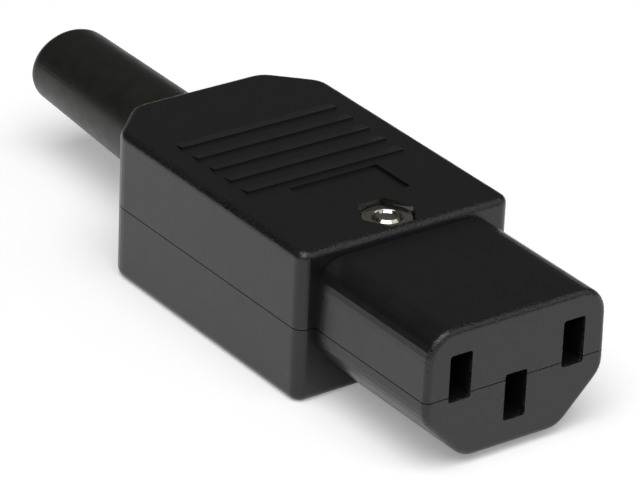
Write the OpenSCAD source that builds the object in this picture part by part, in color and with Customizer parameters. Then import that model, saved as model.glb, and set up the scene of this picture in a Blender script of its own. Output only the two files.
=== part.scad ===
// Rewireable three-pole C13 power connector: two moulded shells around folded brass
// contacts, box terminals, a cord clamp and a rubber cable guard, held by one screw and nut.
// Origin: middle of the body's underside. +X points out of the mating face, +Z is up.

/* [Body] */
// Length of the body, without the nose and the guard
body_l = 38.2; // [37:0.1:48]
// Width of the body
body_w = 26.2; // [25.8:0.1:34]
// Height of the body
body_h = 16.9; // [16.8:0.1:20]
// Height of the plane where the two shells meet
parting_z = 8.3; // [8.3:0.1:8.8]
// Wall thickness of the shells
wall = 2.0; // [1.5:0.1:2.1]
// Radius along the top and bottom edges
edge_r = 0.9; // [0.3:0.1:1]
// Size of the 45 degree cuts at the rear corners
rear_cut = 4.9; // [3:0.1:6]
// Radius that blends the rear cuts into the sides and the back
rear_blend_r = 3.0; // [1.2:0.1:3.2]
// Radius of the two front vertical edges
front_r = 1.3; // [1.2:0.1:2]
// Width of the fine seam between the shells
seam_w = 0.1; // [0.04:0.02:0.2]
// Depth of that seam
seam_depth = 0.5; // [0.3:0.1:0.8]

/* [Nose] */
// Length of the nose in front of the body
nose_l = 18.6; // [18:0.1:22]
// Width of the nose
nose_w = 22.3; // [22:0.1:24]
// Height of the nose
nose_h = 14.9; // [14.4:0.1:15]
// Height of the nose's top over the plane where the shells meet
nose_rise = 7.4; // [7.2:0.1:7.6]
// Radius of the upper edges of the nose
nose_top_r = 3.2; // [1:0.1:3.5]
// Size of the 45 degree cuts along the lower edges of the nose
nose_cut = 5.3; // [3:0.1:5.4]
// Radius that blends those cuts
nose_blend_r = 3.0; // [0.8:0.1:3.2]
// How far the nose's sides lean in towards its top
nose_draft = 0.1; // [0:0.05:0.2]
// Radius around the rim of the mating face
face_r = 0.7; // [0.2:0.05:0.8]

/* [Pin apertures] */
// Distance between the middles of the line and neutral apertures
pin_pitch = 14; // [13.8:0.1:14.2]
// Height of the line and neutral apertures over the earth aperture
earth_drop = 4; // [3.8:0.1:4.1]
// Width of an aperture
slot_w = 2.7; // [2.4:0.1:3]
// Height of an aperture
slot_h = 5.2; // [4.6:0.1:5.4]
// Radius in an aperture's corners
slot_r = 0.3; // [0.1:0.05:0.4]
// Room on each side of an aperture that the pocket behind it adds
pocket_room = 0.1; // [0.05:0.05:0.2]

/* [Contacts] */
// Thickness of the brass sheet
sheet = 0.8; // [0.5:0.1:0.9]
// Length of the forked part that grips a pin
fork_l = 13.0; // [11:0.1:13.2]
// Height of the forked part
fork_h = 4.6; // [4:0.1:4.8]
// Gap between the leaves where they pinch
pinch_gap = 1.5; // [1:0.1:1.9]
// Gap between the leaves at the back of the fork
back_gap = 2.3; // [2:0.1:2.4]
// Gap between the flared tips
lip_gap = 2.7; // [2:0.1:2.8]
// Length of the flared tips
lip_l = 2.4; // [1.5:0.1:3]
// Radius at the sheet's bends
bend = 0.7; // [0.5:0.1:0.9]
// Width of the tail that runs back to the terminal
tail_w = 3.2; // [2:0.1:3.3]
// Distance of the line and neutral tips behind the face
line_setback = 4.0; // [2.2:0.1:4.2]
// Distance of the earth tips behind the face
earth_setback = 3.4; // [1.4:0.1:3.6]
// Width of the ring with which the earth tail passes the housing screw
ring_w = 1.3; // [0.9:0.1:1.4]

/* [Terminals] */
// Distance of the terminals' middle behind the front of the body
terminal_setback = 12.3; // [12:0.1:14]
// Length of a terminal box
box_l = 6.5; // [5:0.1:7]
// Width of a terminal box
box_w = 5.6; // [5.2:0.1:5.8]
// Side wall of a terminal box
box_side = 1.0; // [0.7:0.1:1.1]
// Floor of a terminal box
box_floor = 1.2; // [0.8:0.1:1.5]
// Roof of a terminal box, which is tapped for its screw
box_roof = 1.8; // [1.2:0.1:2]
// Height of the wire tunnel
tunnel_h = 3.6; // [3:0.1:3.8]
// Thickness of the leaf that guards the wire from the screw
leaf_t = 0.4; // [0.3:0.05:0.6]
// Length of a terminal screw's shank
terminal_screw_l = 4.0; // [3:0.1:4.5]
// Radius of a terminal screw's shank
terminal_screw_r = 1.5; // [1.2:0.1:1.6]
// Radius of a terminal screw's head
terminal_head_r = 2.4; // [2:0.1:2.6]
// Height of a terminal screw's head
terminal_head_h = 1.6; // [1.2:0.1:1.8]

/* [Housing screw] */
// Distance of the screw behind the front of the body
screw_setback = 3.6; // [3.2:0.1:3.6]
// Radius of the shank
screw_r = 1.5; // [1.2:0.1:1.5]
// Radius of the head
screw_head_r = 2.75; // [2.4:0.05:2.8]
// Height of the head
screw_head_h = 2.0; // [1.5:0.1:2.2]
// Depth at which the head bears on the lower shell
head_seat = 2.75; // [2.3:0.05:2.8]
// Width of the nut across its flats
nut_af = 5.5; // [5:0.1:5.8]
// Height of the nut
nut_h = 2.4; // [2:0.1:2.6]
// Depth of the nut's face under the top
nut_recess = 0.55; // [0.2:0.05:0.8]
// How far the screw's end stands out of the nut
screw_proud = 0.2; // [0.2:0.05:0.8]
// Wall of the bosses around the screw
boss_wall = 1.0; // [0.8:0.1:1.1]

/* [Cord clamp] */
// Distance of the clamp behind the front of the body
clamp_setback = 26.5; // [25.5:0.1:27]
// Diameter of the cord that the clamp and the guard are made for
cord_d = 6.5; // [5:0.1:6.8]
// Clearance between the clamp's ears and the walls beside them
clamp_room = 0.45; // [0.2:0.05:0.6]
// Width of the clamp along the cord
clamp_w = 5.2; // [4.6:0.1:6]
// Thickness of the clamp's ears
ear_t = 2.6; // [2:0.1:3]
// Thickness of the clamp over the cord
arch_t = 1.6; // [1.2:0.1:2]
// Radius of the posts that the clamp screws go into
post_r = 2.5; // [2.3:0.1:2.6]
// Radius of a clamp screw's shank
clamp_screw_r = 1.45; // [1.2:0.05:1.5]
// Length of a clamp screw's shank
clamp_screw_l = 7.0; // [5:0.1:7.5]
// Radius of a clamp screw's head
clamp_head_r = 2.4; // [2:0.1:2.5]
// Height of a clamp screw's head
clamp_head_h = 1.7; // [1.2:0.1:2]

/* [Cable guard] */
// Length of the guard behind the body
guard_l = 26.1; // [15:0.1:40]
// Diameter of the guard at the body, where it is round
guard_d = 10.7; // [10:0.1:11]
// Width of the oval that the guard tapers to at its end
guard_end_w = 10.2; // [9:0.1:10.6]
// Height of that oval
guard_end_h = 8.8; // [8.6:0.1:10]
// Radius around the guard's end
guard_end_r = 1.6; // [0.4:0.1:2]
// Angle at which the soft guard leans up behind the body
guard_lean = 2.2; // [0:0.1:3]
// Height of the guard's axis over the parting plane where it leaves the body
guard_lift = 0.4; // [0:0.1:0.5]
// Play between the cord and the hole through the guard
cord_play = 0.15; // [0.1:0.05:0.3]
// Diameter of the flange inside the body
flange_d = 12.4; // [12:0.1:12.5]
// Thickness of the flange
flange_t = 1.8; // [1.2:0.1:2]
// Thickness of the collar wall in front of the flange
collar_t = 1.2; // [0.8:0.1:1.4]

/* [Top face] */
// Number of finger grip ribs
grip_count = 5; // [1:1:5]
// Distance from one rib to the next
grip_pitch = 3.0; // [2:0.1:3]
// Width of a rib's slope
grip_w = 1.5; // [0.8:0.1:1.8]
// Height of a rib at its steep side
grip_h = 0.25; // [0.1:0.05:0.5]
// Length of a rib across the body
grip_l = 19.7; // [12:0.1:20]
// Distance of the first rib's steep side behind the front of the body
grip_setback = 14.2; // [13.4:0.1:16]
// Distance of the label recess behind the front of the body
label_setback = 7.2; // [7:0.1:7.5]
// Length of the label recess
label_l = 5.9; // [4:0.1:6]
// Width of the label recess
label_w = 11.1; // [6:0.1:18]
// Depth of the label recess
label_depth = 0.3; // [0.1:0.05:0.5]

/* [Fits] */
// Room around a shank in its hole
shank_room = 0.08; // [0.04:0.01:0.1]
// Room around loose-fitting pieces such as the nut, the contacts' tails and the guard
room = 0.15; // [0.05:0.05:0.2]

/* [Hidden] */

$fn = 64;
over = 1;                       // how far a cutting shape runs past a surface
smooth = 32;                    // facets around the rounded outer edges
half_cut = tan(22.5);           // a fillet at a 135 degree corner starts at this share of its radius

front_x = body_l / 2;
rear_x = -body_l / 2;
face_x = front_x + nose_l;
side_y = body_w / 2;
floor_z = wall;
ceiling_z = body_h - wall;
cavity_x = front_x - wall;      // front of the hollow in the body
nose_top = parting_z + nose_rise;
nose_bottom = nose_top - nose_h;

line_y = pin_pitch / 2;
POLES = [-line_y, 0, line_y];
line_z = parting_z + earth_drop / 2;
earth_z = parting_z - earth_drop / 2;
pocket_w = lip_gap + 2 * sheet + 2 * room;
pocket_h = slot_h + 2 * pocket_room;
tail_z = earth_z - fork_h / 2;  // underside of all three tails
line_back = face_x - line_setback - fork_l;
earth_back = face_x - earth_setback - fork_l;

terminal_x = front_x - terminal_setback;
tail_end = terminal_x - box_l / 2 + sheet;
box_z = tail_z - box_floor;
box_h = box_floor + tunnel_h + box_roof;
tunnel_w = box_w - 2 * box_side;
roof_z = tail_z + tunnel_h;     // underside of a terminal box's roof
thread_r = terminal_screw_r + shank_room;

screw_x = front_x - screw_setback;
boss_r = screw_r + shank_room + boss_wall;
ring_hole_r = boss_r + room;
ring_r = ring_hole_r + ring_w;
plinth_r = ring_r + room;
nut_face_z = body_h - nut_recess;
nut_seat_z = nut_face_z - nut_h;
nut_pocket_r = (nut_af / 2 + room / 2) / cos(30);
nut_boss_r = nut_pocket_r + boss_wall;
screw_end_z = nut_face_z + screw_proud;

clamp_x = front_x - clamp_setback;
clamp_y = side_y - wall - clamp_room - clamp_w / 2;
ear_z = parting_z + ear_t;
pilot_z = ear_z - clamp_screw_l - 0.4;
rib_t = 1.2;                    // thickness of the moulded ribs
peg_r = 1.2;
peg_l = 3.0;
peg_post_r = peg_r + shank_room + 0.8;
peg_x = (clamp_x + post_r + terminal_x - box_l / 2) / 2;
peg_y = side_y - wall - peg_post_r + 0.2;
divider_y = line_y / 2;         // ribs between the poles
divider_t = min(rib_t, line_y - box_w - 2 * room);
guard_bore_r = cord_d / 2 + cord_play;
flange_x = rear_x + wall;
lean_room = flange_d / 2 * sin(guard_lean);     // the leaning flange takes this on each side
collar_x = flange_x + flange_t + 2 * lean_room + room / 2;
guard_inner = collar_x + collar_t + 0.5 - rear_x;   // how far the guard reaches into the body

// ---- Shared shapes ----

// Points of an arc, for outlines
function arc(c, r, from, to, n = 8) =
    [for (i = [0:n]) let (a = from + (to - from) * i / n) c + r * [cos(a), sin(a)]];

// Outline of a folded strip of thickness t whose middle follows the path p
function unit(v) = v / norm(v);
function left_of(v) = [-v.y, v.x];
function along(p, i) = unit(p[i + 1] - p[i]);
function mitre(p, i) =
    let (a = along(p, max(i - 1, 0)), b = along(p, min(i, len(p) - 2)),
         m = unit(left_of(a) + left_of(b)))
    m / (m * left_of(b));
function strip(p, t) =
    concat([for (i = [0:len(p) - 1]) p[i] + mitre(p, i) * t / 2],
           [for (i = [len(p) - 1:-1:0]) p[i] - mitre(p, i) * t / 2]);

// A shape drawn in X and Z, made w wide along Y about the middle
module across(w) rotate([90, 0, 0]) linear_extrude(w, center = true) children();

// A cylinder along +X from x = 0
module along_x(r, l) rotate([0, 90, 0]) cylinder(r = r, h = l);

// A box centred on Y, from its lowest x and z
module slab(x, z, size) translate([x, -size.y / 2, z]) cube(size);

// A slotted pan head screw, pointing down, with its head's underside at z = 0
module slotted_screw(shank_r, shank_l, head_r, head_h) {
    slot = head_h / 2;
    translate([0, 0, -shank_l]) cylinder(r = shank_r, h = shank_l);
    difference() {
        rotate_extrude() polygon(concat([[0, 0]], [[head_r, 0]],
            arc([head_r - head_h / 3, head_h * 2 / 3], head_h / 3, 0, 90), [[0, head_h]]));
        translate([-head_r, -slot / 2, head_h - slot]) cube([2 * head_r, slot, head_h]);
    }
}

// ---- Shells ----

// Outline of the body in plan, inset on every side by d
module body_plan(d) {
    x = body_l / 2 - d;
    y = side_y - d;
    cut = rear_cut - d * (2 - sqrt(2));
    polygon([[x, -y], [x, y], [cut - x, y], [-x, y - cut], [-x, cut - y], [cut - x, -y]]);
}

// One corner of the body: a post with rounded ends
module body_corner(r) {
    e = r - edge_r;
    rotate_extrude($fn = smooth)
        polygon(concat([[0, 0]], arc([e, edge_r], edge_r, -90, 0, smooth / 4),
            arc([e, body_h - edge_r], edge_r, 0, 90, smooth / 4), [[0, body_h]]));
}

module body_outside() hull() for (side = [-1, 1]) {
    translate([front_x - front_r, side * (side_y - front_r), 0]) body_corner(front_r);
    translate([rear_x + rear_cut + rear_blend_r * half_cut, side * (side_y - rear_blend_r), 0])
        body_corner(rear_blend_r);
    translate([rear_x + rear_blend_r, side * (side_y - rear_cut - rear_blend_r * half_cut), 0])
        body_corner(rear_blend_r);
}

// One edge of the nose: a rod along X with a rounded front end
module nose_edge(r) translate([cavity_x, 0, 0]) rotate([90, 0, 90])
    rotate_extrude($fn = smooth) {
        l = face_x - cavity_x;
        polygon(concat([[0, 0], [r, 0]], arc([r - face_r, l - face_r], face_r, 0, 90, 6),
            [[0, l]]));
    }

module nose_outside() hull() for (side = [-1, 1]) {
    translate([0, side * (nose_w / 2 - nose_draft - nose_top_r), nose_top - nose_top_r])
        nose_edge(nose_top_r);
    translate([0, side * (nose_w / 2 - nose_blend_r),
               nose_bottom + nose_cut + nose_blend_r * half_cut]) nose_edge(nose_blend_r);
    translate([0, side * (nose_w / 2 - nose_cut - nose_blend_r * half_cut),
               nose_bottom + nose_blend_r]) nose_edge(nose_blend_r);
}

// The fine seam between the shells, around the body and the nose
module seam() translate([0, 0, parting_z - seam_w / 2]) linear_extrude(seam_w) difference() {
    translate([rear_x - over, -side_y - over])
        square([body_l + nose_l + 2 * over, body_w + 2 * over]);
    body_plan(seam_depth);
    translate([0, seam_depth - nose_w / 2])
        square([face_x - seam_depth, nose_w - 2 * seam_depth]);
}

// Outline of an aperture, about its middle
function aperture() =
    let (a = slot_w / 2 - slot_r, b = slot_h / 2 - slot_r)
    concat(arc([a, b], slot_r, 0, 90, 3), arc([-a, b], slot_r, 90, 180, 3),
        arc([-a, -b], slot_r, 180, 270, 3), arc([a, -b], slot_r, 270, 360, 3));

// Pockets for the forks, apertures in the face and channels for the tails
module pole_space(y, z, setback, back) {
    pocket_x = back - sheet / 2 - room;
    channel_w = tail_w + 2 * room;
    translate([0, y, 0]) {
        slab(pocket_x, z - pocket_h / 2, [face_x - setback + room - pocket_x, pocket_w, pocket_h]);
        translate([back, 0, z]) rotate([90, 0, 90]) linear_extrude(face_x - back + over)
            polygon(aperture());
        slab(cavity_x - over, tail_z, [back + sheet - cavity_x + over, channel_w,
            z + fork_h / 2 - tail_z]);
    }
}

module contact_spaces() {
    for (y = [-line_y, line_y]) pole_space(y, line_z, line_setback, line_back);
    pole_space(0, earth_z, earth_setback, earth_back);
    translate([screw_x, 0, tail_z]) cylinder(r = plinth_r, h = parting_z - tail_z);
}

// The hollow in the body
module cavity() translate([0, 0, floor_z])
    linear_extrude(ceiling_z - floor_z) body_plan(wall);

// The wall in front of the guard's flange, full height
module collar_wall() intersection() {
    slab(collar_x, floor_z - over / 2, [collar_t, body_w, ceiling_z - floor_z + over]);
    translate([0, 0, floor_z - over / 2])
        linear_extrude(ceiling_z - floor_z + over) body_plan(wall - over / 2);
}

// Things along the guard's leaning axis: z = 0 at the back of the body, +z into the body
module along_guard() translate([rear_x, 0, parting_z + guard_lift])
    rotate([0, 90 + guard_lean, 0]) children();

module guard_hole() along_guard() translate([0, 0, -over])
    cylinder(r = guard_d / 2 + room / 3, h = guard_inner + over);

// Ribs that keep the three poles apart
module dividers(z, h) for (side = [-1, 1]) translate([0, side * divider_y, 0])
    slab(terminal_x - box_l / 2 - rib_t, z, [screw_x - terminal_x + box_l / 2 + rib_t,
        divider_t, h]);

module lower_shell() color("#26262a") difference() {
    union() {
        difference() {
            intersection() {
                union() { body_outside(); nose_outside(); }
                slab(rear_x - over, -over, [body_l + nose_l + 2 * over, body_w + 2 * over,
                    parting_z + over]);
            }
            cavity();
        }
        dividers(floor_z, parting_z - floor_z);
        difference() {
            collar_wall();
            slab(collar_x - over, parting_z, [collar_t + 2 * over, body_w, body_h]);
        }
        // Seats of the terminal boxes
        for (y = POLES) translate([0, y, 0])
            slab(terminal_x - box_l / 2 + rib_t / 2, floor_z,
                [box_l - rib_t, tunnel_w, box_z - floor_z]);
        // Plinth under the earth tail's ring
        translate([screw_x, 0, floor_z]) cylinder(r = plinth_r, h = tail_z - floor_z);
        for (side = [-1, 1]) {
            translate([clamp_x, side * clamp_y, floor_z])
                cylinder(r = post_r, h = parting_z - floor_z);
            translate([peg_x, side * peg_y, floor_z])
                cylinder(r = peg_post_r, h = parting_z - floor_z);
            // Ribs that carry the cord under the clamp
            slab(clamp_x + side * (clamp_w - rib_t) / 2 - rib_t / 2, floor_z,
                [rib_t, 2 * clamp_y, parting_z - floor_z]);
        }
    }
    contact_spaces_around_boss();
    guard_hole();
    seam();
    translate([clamp_x - clamp_w, 0, parting_z]) along_x(cord_d / 2, 2 * clamp_w);
    for (side = [-1, 1]) {
        translate([clamp_x, side * clamp_y, pilot_z])
            cylinder(r = clamp_screw_r + shank_room, h = body_h);
        translate([peg_x, side * peg_y, parting_z - peg_l - room])
            cylinder(r = peg_r + shank_room, h = body_h);
    }
    translate([screw_x, 0, -over]) {
        cylinder(r = screw_r + shank_room, h = body_h);
        cylinder(r = screw_head_r + 2 * room, h = head_seat + over);
    }
}

// The spaces for the contacts, with the lower boss for the housing screw left standing
module contact_spaces_around_boss() difference() {
    contact_spaces();
    translate([screw_x, 0, 0]) cylinder(r = boss_r, h = parting_z);
}

module upper_shell() color("#2b2b30") difference() {
    union() {
        difference() {
            intersection() {
                union() { body_outside(); nose_outside(); }
                slab(rear_x - over, parting_z, [body_l + nose_l + 2 * over, body_w + 2 * over,
                    body_h]);
            }
            cavity();
            for (y = [-line_y, line_y]) pole_space(y, line_z, line_setback, line_back);
            pole_space(0, earth_z, earth_setback, earth_back);
        }
        dividers(parting_z, ceiling_z - parting_z);
        difference() {
            collar_wall();
            slab(collar_x - over, 0, [collar_t + 2 * over, body_w, parting_z]);
        }
        // Boss for the housing screw, widened to hold the nut
        translate([screw_x, 0, parting_z]) {
            cylinder(r = boss_r, h = ceiling_z - parting_z);
            translate([0, 0, nut_seat_z - rib_t - parting_z])
                cylinder(r = nut_boss_r, h = ceiling_z - nut_seat_z + rib_t);
        }
        for (side = [-1, 1]) translate([peg_x, side * peg_y, parting_z]) {
            cylinder(r = peg_post_r, h = ceiling_z - parting_z);
            translate([0, 0, -peg_l]) cylinder(r = peg_r, h = peg_l + over);
        }
        for (i = [0:grip_count - 1])
            translate([front_x - grip_setback - i * grip_pitch, 0, body_h]) across(grip_l)
                polygon([[0, -over], [0, grip_h], [-grip_w, 0], [-grip_w, -over]]);
    }
    guard_hole();
    seam();
    translate([screw_x, 0, parting_z - over]) cylinder(r = screw_r + shank_room, h = body_h);
    translate([screw_x, 0, nut_seat_z]) rotate(30)
        cylinder(r = nut_pocket_r, h = body_h, $fn = 6);
    slab(front_x - label_setback - label_l, body_h - label_depth,
        [label_l, label_w, label_depth + over]);
}

// ---- Contacts and terminals ----

// Fork of folded sheet that grips a pin between its two leaves
module fork(back) {
    back_y = (back_gap + sheet) / 2;
    pinch_y = (pinch_gap + sheet) / 2;
    lip_y = (lip_gap + sheet) / 2;
    tip = back + fork_l;
    leaf = [[back, back_y - bend], [back + bend, back_y], [tip - lip_l, pinch_y], [tip, lip_y]];
    linear_extrude(fork_h) polygon(strip(concat(
        [for (i = [3:-1:0]) leaf[i]], [for (p = leaf) [p.x, -p.y]]), sheet));
}

// Tail that drops from the back of a fork and runs to the terminal
module tail(back, z) across(tail_w)
    polygon(strip([[back, z], [back, tail_z + sheet / 2 + bend],
        [back - bend, tail_z + sheet / 2], [tail_end, tail_z + sheet / 2]], sheet));

module line_pole(y) color("#c9a24a") translate([0, y, 0]) {
    translate([0, 0, line_z - fork_h / 2]) fork(line_back);
    tail(line_back, line_z);
}
module line_contact() line_pole(-line_y);
module neutral_contact() line_pole(line_y);

module earth_contact() color("#c9a24a") difference() {
    union() {
        translate([0, 0, tail_z]) fork(earth_back);
        tail(earth_back, earth_z);
        translate([screw_x, 0, tail_z]) cylinder(r = ring_r, h = sheet);
    }
    translate([screw_x, 0, 0]) cylinder(r = ring_hole_r, h = parting_z);
}

// Box that a tail lies in and a wire is clamped in
module terminal_box(y) color("#b8903c") difference() {
    c = box_side / 2;
    translate([terminal_x - box_l / 2, y, box_z]) rotate([90, 0, 90]) linear_extrude(box_l)
        polygon([[-box_w / 2, c], [c - box_w / 2, 0], [box_w / 2 - c, 0], [box_w / 2, c],
            [box_w / 2, box_h - c], [box_w / 2 - c, box_h], [c - box_w / 2, box_h],
            [-box_w / 2, box_h - c]]);
    translate([0, y, 0])
        slab(terminal_x - box_l / 2 - over, tail_z, [box_l + 2 * over, tunnel_w, tunnel_h]);
    translate([terminal_x, y, roof_z - over]) cylinder(r = thread_r, h = box_h);
}
module line_terminal_box() terminal_box(-line_y);
module neutral_terminal_box() terminal_box(line_y);
module earth_terminal_box() terminal_box(0);

// Leaf under the screw that keeps it off the wire's strands
module wire_guard(y) color("#d8d8d4") translate([terminal_x, y, 0]) {
    end = box_l / 2 + room + leaf_t / 2;
    z = roof_z - leaf_t / 2;
    across(tunnel_w - 2 * room)
        polygon(strip([[-end, z + box_roof / 2], [-end, z], [end, z], [end, z + box_roof / 2]],
            leaf_t));
}
module line_wire_guard() wire_guard(-line_y);
module neutral_wire_guard() wire_guard(line_y);
module earth_wire_guard() wire_guard(0);

module terminal_screw(y) color("#c8c8c4") translate([terminal_x, y, roof_z + terminal_screw_l])
    slotted_screw(terminal_screw_r, terminal_screw_l, terminal_head_r, terminal_head_h);
module line_terminal_screw() terminal_screw(-line_y);
module neutral_terminal_screw() terminal_screw(line_y);
module earth_terminal_screw() terminal_screw(0);

// ---- Housing screw and nut ----

module housing_screw() color("#d0ccc0") translate([screw_x, 0, head_seat]) rotate([180, 0, 0]) {
    shank_l = screw_end_z - head_seat;
    slotted_screw(screw_r, shank_l - screw_r / 5, screw_head_r, screw_head_h);
    translate([0, 0, -shank_l]) cylinder(r1 = screw_r * 0.8, r2 = screw_r, h = screw_r / 5);
}

module housing_nut() color("#b8b49c") translate([screw_x, 0, nut_seat_z]) {
    corner_r = nut_af / 2 / cos(30);
    c = (corner_r - nut_af / 2) * 1.4;
    difference() {
        intersection() {
            rotate(30) cylinder(r = corner_r, h = nut_h, $fn = 6);
            rotate_extrude() polygon([[0, 0], [corner_r - c, 0], [corner_r, c / 2],
                [corner_r, nut_h - c / 2], [corner_r - c, nut_h], [0, nut_h]]);
        }
        translate([0, 0, -over]) cylinder(r = screw_r + shank_room / 2, h = nut_h + 2 * over);
    }
}

// ---- Cord clamp and cable guard ----

module cord_clamp() color("#303034") translate([clamp_x, 0, parting_z]) difference() {
    arch_r = cord_d / 2 + arch_t;
    ridge = 0.5;
    union() {
        linear_extrude(ear_t) {
            square([clamp_w, 2 * clamp_y], center = true);
            for (side = [-1, 1]) translate([0, side * clamp_y]) circle(r = clamp_w / 2);
        }
        translate([-clamp_w / 2, 0, 0]) along_x(arch_r, clamp_w);
    }
    slab(-clamp_w, -arch_r - over, [2 * clamp_w, 2 * clamp_y, arch_r + over]);
    translate([-clamp_w, 0, 0]) along_x(cord_d / 2 - ridge, 2 * clamp_w);
    // Three grooves leave two ridges that bite into the cord
    for (i = [-1:1]) translate([i * clamp_w * 0.38 - clamp_w * 0.12, 0, 0])
        along_x(cord_d / 2, clamp_w * 0.24);
    for (side = [-1, 1]) translate([0, side * clamp_y, -over])
        cylinder(r = clamp_screw_r + shank_room, h = ear_t + 2 * over);
}

module clamp_screw(y) color("#c8c8c4") translate([clamp_x, y, ear_z])
    slotted_screw(clamp_screw_r, clamp_screw_l, clamp_head_r, clamp_head_h);
module clamp_screw_left() clamp_screw(-clamp_y);
module clamp_screw_right() clamp_screw(clamp_y);

// One section of the guard, z behind the body, with half its width and half its height
module guard_section(z, a, b) translate([0, 0, -z]) linear_extrude(0.01) scale([b, a]) circle(1);

// Rubber sleeve: a flange held in the body, and behind it a tube that turns oval
module cable_guard() color("#222224") along_guard() difference() {
    union() {
        hull() {
            guard_section(0, guard_d / 2, guard_d / 2);
            for (a = [0:15:90]) let (inset = guard_end_r * (1 - cos(a)))
                guard_section(guard_l - guard_end_r * (1 - sin(a)),
                    guard_end_w / 2 - inset, guard_end_h / 2 - inset);
        }
        cylinder(r = guard_d / 2, h = guard_inner);
        translate([0, 0, wall + lean_room]) cylinder(r = flange_d / 2, h = flange_t);
    }
    translate([0, 0, -guard_l - over])
        cylinder(r = guard_bore_r, h = guard_l + guard_inner + 2 * over);
}

lower_shell();
upper_shell();
cable_guard();
cord_clamp();
clamp_screw_left();
clamp_screw_right();
housing_screw();
housing_nut();
line_contact();
neutral_contact();
earth_contact();
line_terminal_box();
neutral_terminal_box();
earth_terminal_box();
line_wire_guard();
neutral_wire_guard();
earth_wire_guard();
line_terminal_screw();
neutral_terminal_screw();
earth_terminal_screw();
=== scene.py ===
"""Finishes, fixing details and studio stage for a rewireable power connector."""

import math

import bmesh
import bpy
from bpy.props import FloatProperty, FloatVectorProperty, PointerProperty
from mathutils import Matrix, Vector


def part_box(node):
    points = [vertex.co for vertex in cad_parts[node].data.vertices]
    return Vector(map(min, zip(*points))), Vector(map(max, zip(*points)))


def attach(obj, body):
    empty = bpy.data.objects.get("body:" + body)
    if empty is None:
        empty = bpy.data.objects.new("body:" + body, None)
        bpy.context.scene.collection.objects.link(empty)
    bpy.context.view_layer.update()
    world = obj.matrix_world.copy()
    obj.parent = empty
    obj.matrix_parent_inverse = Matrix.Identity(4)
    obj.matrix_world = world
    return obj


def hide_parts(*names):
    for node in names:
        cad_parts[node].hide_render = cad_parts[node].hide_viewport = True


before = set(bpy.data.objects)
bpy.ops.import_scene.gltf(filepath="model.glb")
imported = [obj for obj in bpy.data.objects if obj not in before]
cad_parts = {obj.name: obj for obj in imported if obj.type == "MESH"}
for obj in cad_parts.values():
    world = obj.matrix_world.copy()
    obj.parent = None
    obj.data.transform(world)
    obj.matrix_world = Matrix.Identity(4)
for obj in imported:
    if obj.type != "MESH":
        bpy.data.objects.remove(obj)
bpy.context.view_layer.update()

bl_info = {
    "name": "Rewireable power connector",
    "version": (1, 0, 0),
    "blender": (4, 5, 0),
    "location": "View3D > Sidebar > Connector",
    "description": "Dresses a rewireable power connector and lights it in a plain studio",
    "category": "Object",
}

MM = 0.001


# ---- Settings ----

def colour(name, description, default):
    return FloatVectorProperty(name=name, description=description, default=default,
                               subtype="COLOR", size=3, min=0, max=1)


def factor(name, description, default):
    return FloatProperty(name=name, description=description, default=default,
                         subtype="FACTOR", min=0, max=1)


def length(name, description, default):
    return FloatProperty(name=name, description=description, default=default,
                         subtype="DISTANCE", unit="LENGTH")


class ConnectorFinish(bpy.types.PropertyGroup):
    """Colours and finishes of the connector's materials"""
    shell_colour: colour("Shell colour", "Colour of the two moulded shells",
                         (0.0064, 0.0064, 0.0067))
    shell_roughness: factor("Shell roughness", "Roughness of the moulded faces", 0.3)
    grain: length("Spark grain", "Size of the grain in the moulded faces", 0.22 * MM)
    guard_colour: colour("Guard colour", "Colour of the rubber cable guard",
                         (0.0078, 0.0078, 0.0055))
    guard_roughness: factor("Guard roughness", "Roughness of the rubber", 0.4)
    nickel_colour: colour("Nickel colour", "Colour of the plated screw and nut",
                          (0.74, 0.69, 0.59))
    brass_colour: colour("Brass colour", "Colour of the contacts", (0.62, 0.43, 0.16))
    plating_dark: factor("Plating shade", "Darkest part of the nickel against its colour", 0.7)
    steel_colour: colour("Steel colour", "Colour of the zinc plated steel",
                         (0.55, 0.55, 0.56))


class ConnectorStage(bpy.types.PropertyGroup):
    """Camera and light of the studio"""
    azimuth: FloatProperty(name="Azimuth", description="Camera's direction around the part",
                           default=math.radians(-36.4648), subtype="ANGLE", unit="ROTATION")
    elevation: FloatProperty(name="Elevation", description="Camera's height as an angle",
                             default=math.radians(26.9044), subtype="ANGLE", unit="ROTATION")
    roll: FloatProperty(name="Roll", description="Camera's turn about its line of sight",
                        default=math.radians(2.5323), subtype="ANGLE", unit="ROTATION")
    distance: length("Distance", "Camera's distance from the part", 0.4343177)
    lens: FloatProperty(name="Lens", description="Focal length of the camera",
                        default=238.783, unit="CAMERA")
    aim: FloatVectorProperty(name="Aim", description="Point that the camera is set out from",
                             default=(0.0191, 0, 0), subtype="TRANSLATION", unit="LENGTH")
    shift_left: length("Shift left", "Camera's sideways offset from the aim", 0.0082246)
    shift_up: length("Shift up", "Camera's upward offset from the aim", 0.0136138)
    floor_colour: colour("Floor colour", "Colour of the studio floor", (0.82, 0.82, 0.82))
    floor_lift: factor("Floor lift", "Light added to the floor as the camera sees it", 0.27)
    room_level: factor("Room level", "Brightness of the dark room above the floor", 0.05)


# ---- Shared helpers ----

def box_of(node):
    low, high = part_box(node)
    return Vector(low), Vector(high)


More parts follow.
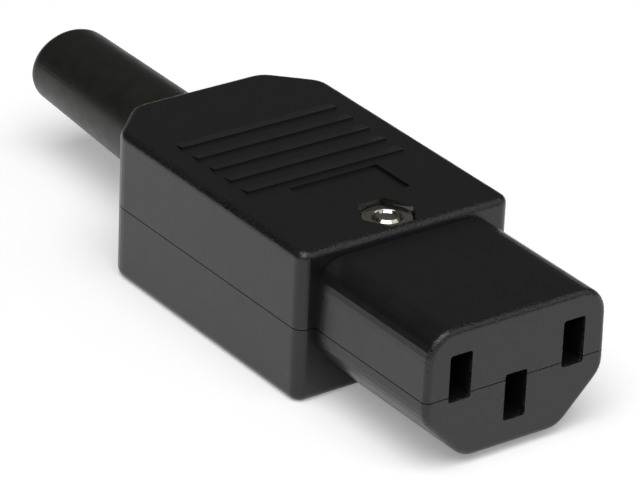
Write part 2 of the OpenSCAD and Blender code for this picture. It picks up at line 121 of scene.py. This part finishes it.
class Nodes:
    """Short way to build a material's node tree"""

    def __init__(self, name):
        self.material = bpy.data.materials.new(name)
        self.material.use_nodes = True
        self.tree = self.material.node_tree
        self.tree.nodes.clear()
        self.output = self.add("ShaderNodeOutputMaterial")

    def add(self, kind, inputs=None, **settings):
        node = self.tree.nodes.new(kind)
        for key, value in settings.items():
            setattr(node, key, value)
        for key, value in (inputs or {}).items():
            if isinstance(value, bpy.types.NodeSocket):
                self.tree.links.new(value, node.inputs[key])
            else:
                node.inputs[key].default_value = value
        return node

    def object_coordinates(self):
        return self.add("ShaderNodeTexCoord").outputs["Object"]

    def noise(self, coordinates, size, detail=2.0, roughness=0.5):
        return self.add("ShaderNodeTexNoise", {
            "Vector": coordinates, "Scale": 1 / size, "Detail": detail,
            "Roughness": roughness}).outputs["Fac"]

    def ramp(self, value, low, high, from_value=0.0, to_value=1.0):
        return self.add("ShaderNodeMapRange", {
            "Value": value, "From Min": low, "From Max": high,
            "To Min": from_value, "To Max": to_value}).outputs["Result"]

    def bump(self, height, distance, strength=1.0, normal=None):
        inputs = {"Height": height, "Distance": distance, "Strength": strength}
        if normal is not None:
            inputs["Normal"] = normal
        return self.add("ShaderNodeBump", inputs).outputs["Normal"]

    def edge_mask(self, reach):
        """One on the rounded edges, nothing on the flats"""
        rounded = self.add("ShaderNodeBevel", {"Radius": reach}, samples=4)
        facing = self.add("ShaderNodeNewGeometry").outputs["Normal"]
        straight = self.add("ShaderNodeVectorMath", {0: rounded.outputs["Normal"], 1: facing},
                            operation="DOT_PRODUCT").outputs["Value"]
        return self.ramp(straight, 0.995, 0.9)

    def math(self, operation, a, b=0.0):
        return self.add("ShaderNodeMath", {0: a, 1: b},
                        operation=operation).outputs["Value"]

    def mix(self, factor_socket, a, b):
        return self.add("ShaderNodeMix", {0: factor_socket, 6: a, 7: b},
                        data_type="RGBA").outputs[2]

    def principled(self, **inputs):
        named = {key.replace("_", " "): value for key, value in inputs.items()}
        shader = self.add("ShaderNodeBsdfPrincipled", named)
        self.tree.links.new(shader.outputs["BSDF"], self.output.inputs["Surface"])
        return shader


def rgba(colour_value, gain=1.0):
    return (*(min(1, channel * gain) for channel in colour_value), 1)


def dress(node, material):
    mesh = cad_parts[node].data
    mesh.materials.clear()
    mesh.materials.append(material)


def lathe(bm, centre, outline, steps):
    """Turn an outline of (radius, height) pairs into a closed ring or a solid of revolution"""
    points = [bm.verts.new(centre + Vector((r, 0, z))) for r, z in outline]
    edges = [bm.edges.new(pair) for pair in zip(points, points[1:])]
    if min(r for r, _ in outline) > 0:
        edges.append(bm.edges.new((points[-1], points[0])))
    bmesh.ops.spin(bm, geom=points + edges, cent=centre, axis=(0, 0, 1),
                   angle=2 * math.pi, steps=steps, use_merge=True)


def crease(bm, angle):
    """Shade smooth, and sharp over edges that turn by more than the angle"""
    for face in bm.faces:
        face.smooth = True
    for edge in bm.edges:
        edge.smooth = edge.calc_face_angle(0) < angle


def new_piece(name, mesh_builder, material, slot, *replaced):
    bm = bmesh.new()
    mesh_builder(bm)
    bmesh.ops.remove_doubles(bm, verts=bm.verts, dist=0.0005 * MM)
    bmesh.ops.recalc_face_normals(bm, faces=bm.faces)
    crease(bm, math.radians(28))
    mesh = bpy.data.meshes.new(name)
    bm.to_mesh(mesh)
    bm.free()
    mesh.materials.append(material)
    piece = bpy.data.objects.new(name, mesh)
    bpy.context.scene.collection.objects.link(piece)
    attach(piece, "root")
    if replaced:
        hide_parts(*replaced)
    return piece


# ---- Materials ----

def painted_glint_edges(n, place):
    """Mask of the rounded edges where glints are painted in as lighter spots: round the body's
    top and the nose's face
    """
    low, high = box_of("upper_shell")
    step = 0.2 * MM
    end_band, side_band, top_band, face_band = 1.4 * MM, 1.1 * MM, 1.0 * MM, 0.9 * MM
    corner_cut = 6.2 * MM
    axes = n.add("ShaderNodeSeparateXYZ", {"Vector": place}).outputs
    along = n.math("ABSOLUTE", axes["X"])
    across = n.math("ABSOLUTE", axes["Y"])
    body_end, body_side = -low.x, high.y

    def beyond(value, start):
        return n.ramp(value, start, start + step)

    rim = n.math("MAXIMUM", beyond(along, body_end - end_band),
                 beyond(across, body_side - side_band))
    rim = n.math("MAXIMUM", rim, beyond(n.math("ADD", along, across),
                                        body_end + body_side - corner_cut))
    top = beyond(axes["Z"], high.z - top_band)
    face = beyond(axes["X"], high.x - face_band)
    # band round the body's top and the nose's face that gets the painted glints
    glint_band = n.math("MAXIMUM", n.math("MULTIPLY", rim, top), face)
    return n.math("MULTIPLY", n.edge_mask(0.9 * MM), glint_band)


def moulded_plastic(name, base, roughness, grain):
    n = Nodes(name)
    place = n.object_coordinates()
    fine = n.bump(n.noise(place, grain, 2, 0.6), 0.025 * MM, 0.6)
    # painted highlight: lighter spots on the rounded edges stand in for the sparkly glints
    # there, and also raise a small bump
    painted_glints = n.math("MULTIPLY", painted_glint_edges(n, place),
                  n.ramp(n.noise(place, 0.36 * MM, 2), 0.48, 0.66))
    cloudy = n.noise(place, 40 * grain, 4)
    n.principled(
        # the colour 2.6 times lighter on the rounded edges is painted highlight
        Base_Color=n.mix(painted_glints, n.mix(cloudy, rgba(base, 0.9), rgba(base, 1.15)),
                         rgba(base, 2.6)),
        Roughness=n.ramp(n.noise(place, 8 * grain, 4), 0.3, 0.7, roughness - 0.03,
                         roughness + 0.04),
        Normal=n.bump(painted_glints, 0.16 * MM, 1.0, fine))
    return n.material


def rubber(name, base, roughness):
    n = Nodes(name)
    place = n.object_coordinates()
    n.principled(
        Base_Color=n.mix(n.noise(place, 6 * MM, 3), rgba(base, 0.9), rgba(base, 1.2)),
        Roughness=n.ramp(n.noise(place, 1.5 * MM, 4), 0.3, 0.7, roughness - 0.04,
                         roughness + 0.05),
        Normal=n.bump(n.noise(place, 0.25 * MM, 3), 0.01 * MM, 0.4))
    return n.material


def plated(name, base, roughness, dark):
    n = Nodes(name)
    place = n.object_coordinates()
    n.principled(
        Base_Color=n.mix(n.noise(place, 0.8 * MM, 4), rgba(base, dark), rgba(base)),
        Metallic=1.0,
        Roughness=n.ramp(n.noise(place, 0.3 * MM, 4), 0.3, 0.7, roughness * 0.7,
                         roughness * 1.3),
        Normal=n.bump(n.noise(place, 0.2 * MM, 3), 0.003 * MM, 0.4))
    return n.material


# ---- Shapes of the fixing ----

def chamfered_nut(bm):
    """Hexagonal nut with its corners along y, chamfered at both ends"""
    low, high = box_of("housing_nut")
    middle = (low + high) / 2
    height = high.z - low.z
    flats = high.x - low.x
    chamfer_r = flats * 0.475
    chamfer_slope = math.tan(math.radians(28))
    corner_reach = flats * 0.569
    bore = 1.54 * MM
    break_edge = 0.14 * MM
    sixth = math.radians(60)
    lathe(bm, Vector((middle.x, middle.y, low.z)), [
        (bore, break_edge), (bore + break_edge, 0), (chamfer_r, 0), (flats / 2, 0),
        (flats / 2, height), (chamfer_r, height), (bore + break_edge, height),
        (bore, height - break_edge)], 72)
    for vert in bm.verts:
        across = vert.co - middle
        radius = math.hypot(across.x, across.y)
        if radius < (chamfer_r + flats / 2) / 2:
            continue
        turn = math.atan2(across.y, across.x)
        off_flat = turn - round(turn / sixth) * sixth
        reach = min(flats / 2 / math.cos(off_flat), corner_reach)
        drop = (reach - chamfer_r) * chamfer_slope
        vert.co.x = middle.x + across.x * reach / radius
        vert.co.y = middle.y + across.y * reach / radius
        vert.co.z += drop if across.z < 0 else -drop


def threaded_screw(bm):
    """Slotted screw whose threaded tip has a dished end"""
    low, high = box_of("housing_screw")
    axis = (low + high) / 2
    bm.from_mesh(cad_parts["housing_screw"].data)
    bmesh.ops.remove_doubles(bm, verts=bm.verts, dist=0.0005 * MM)
    tip, root_r, crest_r, pitch = 2.1, 1.27, 1.5, 0.5
    cut = high.z - tip * MM
    split = bmesh.ops.bisect_plane(bm, geom=bm.verts[:] + bm.edges[:] + bm.faces[:],
                                   plane_co=(0, 0, cut), plane_no=(0, 0, 1),
                                   clear_outer=True)
    rim = [item for item in split["geom_cut"] if isinstance(item, bmesh.types.BMEdge)]
    bmesh.ops.holes_fill(bm, edges=rim)
    outline = [(0, -tip), (1.3, -tip)]
    for turn in range(3):
        foot = turn * pitch - tip + 0.05
        outline += [(root_r, foot), (crest_r, foot + 0.21), (crest_r, foot + 0.29)]
    outline += [(root_r, -0.53), (crest_r, -0.33), (crest_r, -0.27)]    # last thread
    outline += [(1.22, 0), (1.13, 0), (0.93, -0.2), (0.83, -0.25), (0, -0.29)]    # dished end
    lathe(bm, Vector((axis.x, axis.y, high.z)),
          [(r * MM, z * MM) for r, z in outline], 64)


# ---- Operators ----

class CONNECTOR_OT_shells(bpy.types.Operator):
    """Finish the two moulded shells and the cord clamp"""
    bl_idname = "connector.shells"
    bl_label = "Shells"

    def execute(self, context):
        finish = context.scene.connector_finish
        shell = moulded_plastic("moulded_black", finish.shell_colour,
                                finish.shell_roughness, finish.grain)
        for node in ("lower_shell", "upper_shell"):
            dress(node, shell)
        dress("cord_clamp", moulded_plastic("clamp_black", finish.shell_colour,
                                            finish.shell_roughness, 2 * finish.grain))
        return {"FINISHED"}


class CONNECTOR_OT_guard(bpy.types.Operator):
    """Finish the rubber cable guard"""
    bl_idname = "connector.guard"
    bl_label = "Cable guard"

    def execute(self, context):
        finish = context.scene.connector_finish
        dress("cable_guard", rubber("guard_rubber", finish.guard_colour,
                                    finish.guard_roughness))
        return {"FINISHED"}


class CONNECTOR_OT_metal(bpy.types.Operator):
    """Finish the contacts, the terminals and the screws"""
    bl_idname = "connector.metal"
    bl_label = "Contacts and fixings"

    def execute(self, context):
        finish = context.scene.connector_finish
        brass = plated("stamped_brass", finish.brass_colour, 0.3, 0.8)
        steel = plated("zinc_steel", finish.steel_colour, 0.35, 0.8)
        nickel = plated("bright_nickel", finish.nickel_colour, 0.17,
                        finish.plating_dark)
        for pole in ("line", "neutral", "earth"):
            dress(f"{pole}_contact", brass)
            dress(f"{pole}_terminal_box", brass)
            dress(f"{pole}_wire_guard", steel)
            dress(f"{pole}_terminal_screw", steel)
        for node in ("clamp_screw_left", "clamp_screw_right"):
            dress(node, steel)
        for node in ("housing_screw", "housing_nut"):
            dress(node, nickel)
        new_piece("nut", chamfered_nut, nickel, "nickel", "housing_nut")
        new_piece("screw", threaded_screw, nickel, "nickel", "housing_screw")
        return {"FINISHED"}


class CONNECTOR_OT_stage(bpy.types.Operator):
    """Set up the floor, the light and the camera"""
    bl_idname = "connector.stage"
    bl_label = "Studio"

    def execute(self, context):
        stage = context.scene.connector_stage
        self.camera(context, stage)
        self.world(context, stage)
        self.floor(context, stage)
        self.lamps(context)
        context.scene.view_settings.view_transform = "Standard"
        return {"FINISHED"}

    def camera(self, context, stage):
        """Set the camera out from the foot of the body's front face"""
        a, e, r = stage.azimuth, stage.elevation, stage.roll
        back = Vector((math.cos(e) * math.cos(a), math.cos(e) * math.sin(a), math.sin(e)))
        right = Vector((0, 0, 1)).cross(back).normalized()
        up = back.cross(right)
        turned_right = right * math.cos(r) + up * math.sin(r)
        turned_up = up * math.cos(r) - right * math.sin(r)
        eye = (Vector(stage.aim) + back * stage.distance - turned_right * stage.shift_left
               + turned_up * stage.shift_up)
        data = bpy.data.cameras.new("camera")
        data.lens = stage.lens
        data.sensor_width = 36
        data.clip_start = 0.01
        data.clip_end = 50
        camera = bpy.data.objects.new("camera", data)
        axes = Matrix((turned_right, turned_up, back)).transposed()
        camera.matrix_world = Matrix.Translation(eye) @ axes.to_4x4()
        context.scene.collection.objects.link(camera)
        context.scene.camera = camera

    def world(self, context, stage):
        world = bpy.data.worlds.new("studio_room")
        world.use_nodes = True
        tree = world.node_tree
        tree.nodes.clear()
        seen = tree.nodes.new("ShaderNodeLightPath")
        direction = tree.nodes.new("ShaderNodeTexCoord")
        across = tree.nodes.new("ShaderNodeSeparateXYZ")
        room = tree.nodes.new("ShaderNodeMapRange")
        room.inputs["From Min"].default_value = -0.5
        room.inputs["From Max"].default_value = 0.5
        room.inputs["To Min"].default_value = stage.room_level * 0.4
        room.inputs["To Max"].default_value = stage.room_level * 1.8
        tree.links.new(direction.outputs["Generated"], across.inputs["Vector"])
        tree.links.new(across.outputs["Y"], room.inputs["Value"])
        level = tree.nodes.new("ShaderNodeMapRange")
        level.inputs["To Max"].default_value = 1.0
        tree.links.new(room.outputs["Result"], level.inputs["To Min"])
        background = tree.nodes.new("ShaderNodeBackground")
        output = tree.nodes.new("ShaderNodeOutputWorld")
        tree.links.new(seen.outputs["Is Camera Ray"], level.inputs["Value"])
        tree.links.new(level.outputs["Result"], background.inputs["Strength"])
        tree.links.new(background.outputs["Background"], output.inputs["Surface"])
        background.inputs["Color"].default_value = (1, 1, 1, 1)
        context.scene.world = world

    def floor(self, context, stage):
        n = Nodes("floor_white")
        diffuse = n.add("ShaderNodeBsdfDiffuse", {"Color": rgba(stage.floor_colour)})
        path = n.add("ShaderNodeLightPath").outputs
        seen = n.math("MAXIMUM", path["Is Camera Ray"], n.math(
            "MAXIMUM", path["Is Glossy Ray"], path["Is Transmission Ray"]))
        lift = n.add("ShaderNodeEmission", {"Color": (1, 1, 1, 1), "Strength": n.ramp(
            seen, 0, 1, 0.0, stage.floor_lift)})
        both = n.add("ShaderNodeAddShader", {0: diffuse.outputs["BSDF"],
                                             1: lift.outputs["Emission"]})
        n.tree.links.new(both.outputs["Shader"], n.output.inputs["Surface"])
        bm = bmesh.new()
        bmesh.ops.create_grid(bm, x_segments=1, y_segments=1, size=4)
        mesh = bpy.data.meshes.new("floor")
        bm.to_mesh(mesh)
        bm.free()
        mesh.materials.append(n.material)
        floor = bpy.data.objects.new("floor", mesh)
        context.scene.collection.objects.link(floor)

    def lamps(self, context):
        for name, place, size, power in (
                ("softbox_top", (0.35, -0.35, 1.15), 1.3, 18.5),
                ("softbox_front", (0.9, 0.9, 0.9), 1.2, 4)):
            data = bpy.data.lights.new(name, "AREA")
            data.size = size
            data.energy = power
            lamp = bpy.data.objects.new(name, data)
            lamp.location = place
            lamp.rotation_euler = Vector(place).to_track_quat("Z", "Y").to_euler()
            context.scene.collection.objects.link(lamp)


class CONNECTOR_PT_panel(bpy.types.Panel):
    """Lists the connector's pieces and its studio"""
    bl_label = "Connector"
    bl_idname = "CONNECTOR_PT_panel"
    bl_space_type = "VIEW_3D"
    bl_region_type = "UI"
    bl_category = "Connector"

    def draw(self, context):
        for operator in OPERATORS:
            self.layout.operator(operator.bl_idname)


OPERATORS = (CONNECTOR_OT_stage, CONNECTOR_OT_shells, CONNECTOR_OT_guard,
             CONNECTOR_OT_metal)
CLASSES = (ConnectorFinish, ConnectorStage, *OPERATORS, CONNECTOR_PT_panel)


def register():
    for cls in CLASSES:
        bpy.utils.register_class(cls)
    bpy.types.Scene.connector_finish = PointerProperty(type=ConnectorFinish)
    bpy.types.Scene.connector_stage = PointerProperty(type=ConnectorStage)


def unregister():
    del bpy.types.Scene.connector_stage
    del bpy.types.Scene.connector_finish
    for cls in reversed(CLASSES):
        bpy.utils.unregister_class(cls)


def main():
    register()
    bpy.ops.connector.stage()
    bpy.ops.connector.shells()
    bpy.ops.connector.guard()
    bpy.ops.connector.metal()


if __name__ == "__main__":
    main()
